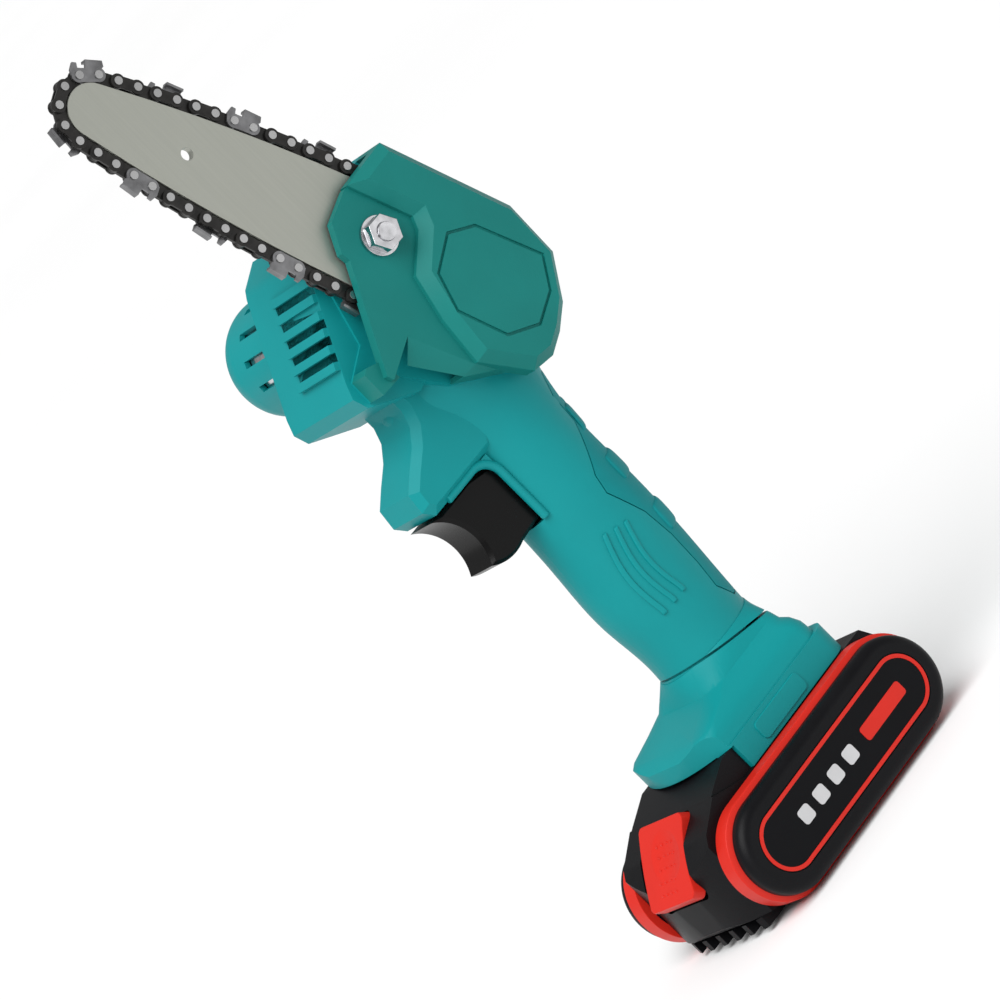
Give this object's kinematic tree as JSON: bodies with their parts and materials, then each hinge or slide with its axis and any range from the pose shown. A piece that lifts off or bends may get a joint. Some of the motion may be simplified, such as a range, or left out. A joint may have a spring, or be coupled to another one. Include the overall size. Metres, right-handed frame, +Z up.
{
  "type": "cordless pruning chainsaw",
  "caption": "One-hand cordless pruning chainsaw with a short guide bar, gear drive, ribbed motor housing, trigger handle and slide-on battery.",
  "frame": {"origin": "bottom centre of the whole tool, at the base of the battery", "axes": "+Z up the handle towards the nose of the bar, -X the trigger side, -Y the side of the sprocket cover, +Y the side of the motor"},
  "size_m": [0.1158, 0.099, 0.3295],
  "materials": {
    "teal_plastic": "moulded, fine grain",
    "cover_plastic": "moulded, fine grain, a little darker",
    "grip_rubber": "soft overmoulding in the body colour",
    "black_plastic": "semi-gloss",
    "battery_plastic": "satin, slightly blue black",
    "red_plastic": "satin",
    "label_film": "printed film",
    "bar_steel": "ground, satin, faint scratches",
    "chain_steel": "blackened, oily",
    "cutter_steel": "thin hard chrome",
    "rivet_steel": "bright",
    "zinc_steel": "bright zinc plated",
    "dark_steel": "oiled",
    "gear_steel": "cut teeth, greased",
    "plate_alloy": "die cast",
    "copper": "enamelled copper wire and strip",
    "brass": "plain",
    "magnet": "sintered ferrite",
    "carbon": "carbon",
    "fan_plastic": "matte",
    "cell_sleeve": "shrink sleeve",
    "board": "circuit board"
  },
  "bodies": {
    "body": {"bar_nut": "zinc_steel", "bar_stud": "zinc_steel", "body_screws": "dark_steel", "chain_cutters": "cutter_steel", "chain_drive_links": "chain_steel", "chain_rivets": "rivet_steel", "chain_tie_straps": "chain_steel", "cover_side_shell": "teal_plastic", "front_bearing": "rivet_steel", "gear_plate": "plate_alloy", "motor_brushes": "carbon", "motor_can": "zinc_steel", "motor_cap": "teal_plastic", "motor_end_bell": "black_plastic", "motor_front_bush": "brass", "motor_housing": "teal_plastic", "motor_magnets": "magnet", "motor_screws": "zinc_steel", "motor_side_shell": "teal_plastic", "rear_bearing": "rivet_steel", "rear_grip": "grip_rubber", "sprocket_cover": "cover_plastic", "switch_body": "black_plastic", "switch_terminals": "brass", "terminal_blades": "brass", "terminal_block": "black_plastic", "trigger_spring": "rivet_steel"},
    "sprocket": {"output_spindle": "gear_steel", "drive_sprocket": "dark_steel", "sprocket_washer": "zinc_steel", "sprocket_clip": "dark_steel", "drive_gear": "gear_steel"},
    "rotor": {"motor_shaft": "rivet_steel", "motor_pinion": "gear_steel", "motor_armature": "dark_steel", "motor_windings": "copper", "motor_commutator": "copper", "motor_fan": "fan_plastic"},
    "bar": {"guide_bar": "bar_steel", "tension_block": "dark_steel"},
    "tensioner": {"tension_screw": "zinc_steel"},
    "trigger_body": {"trigger": "black_plastic"},
    "battery": {"battery_band_far": "red_plastic", "battery_band_near": "red_plastic", "battery_board": "board", "battery_case": "battery_plastic", "battery_cells": "cell_sleeve", "battery_contacts": "brass", "battery_end_far": "battery_plastic", "battery_end_near": "battery_plastic", "battery_label_far": "label_film", "battery_label_near": "label_film", "battery_strips": "zinc_steel", "button_spring": "rivet_steel"},
    "button": {"release_button": "red_plastic"}
  },
  "joints": [
    {"name": "sprocket_spin", "type": "hinge", "parent": "body", "child": "sprocket", "pos_m": [0.03205, -0.0345, 0.1941], "axis": [0, 1, 0], "continuous": true},
    {"name": "motor_spin", "type": "hinge", "parent": "body", "child": "rotor", "pos_m": [0.01119, 0.0065, 0.21424], "axis": [0, 1, 0], "continuous": true},
    {"name": "bar_slide", "type": "slide", "parent": "body", "child": "bar", "axis": [-0.377, 0, 0.9262], "range_m": [-0.0025, 0]},
    {"name": "tension_turn", "type": "hinge", "parent": "body", "child": "tensioner", "pos_m": [0.02962, -0.0282, 0.22658], "axis": [-0.377, 0, 0.9262], "range_deg": [0, 1290]},
    {"name": "trigger_slide", "type": "slide", "parent": "body", "child": "trigger_body", "axis": [1, 0, 0], "range_m": [0, 0.006], "stiffness_N_per_m": 600, "springref_m": -0.004, "deforming": ["trigger_spring"]},
    {"name": "battery_slide", "type": "slide", "parent": "body", "child": "battery", "axis": [-1, 0, 0], "range_m": [0, 0.075]},
    {"name": "button_press", "type": "slide", "parent": "battery", "child": "button", "axis": [0.7431, 0, -0.6691], "range_m": [0, 0.0025], "stiffness_N_per_m": 1500, "springref_m": -0.002, "deforming": ["button_spring"]}
  ],
  "couplings": [
    {"joint": "motor_spin", "follows": "sprocket_spin", "ratio": -2.625},
    {"joint": "tension_turn", "follows": "bar_slide", "rad_per_m": -8976}
  ]
}
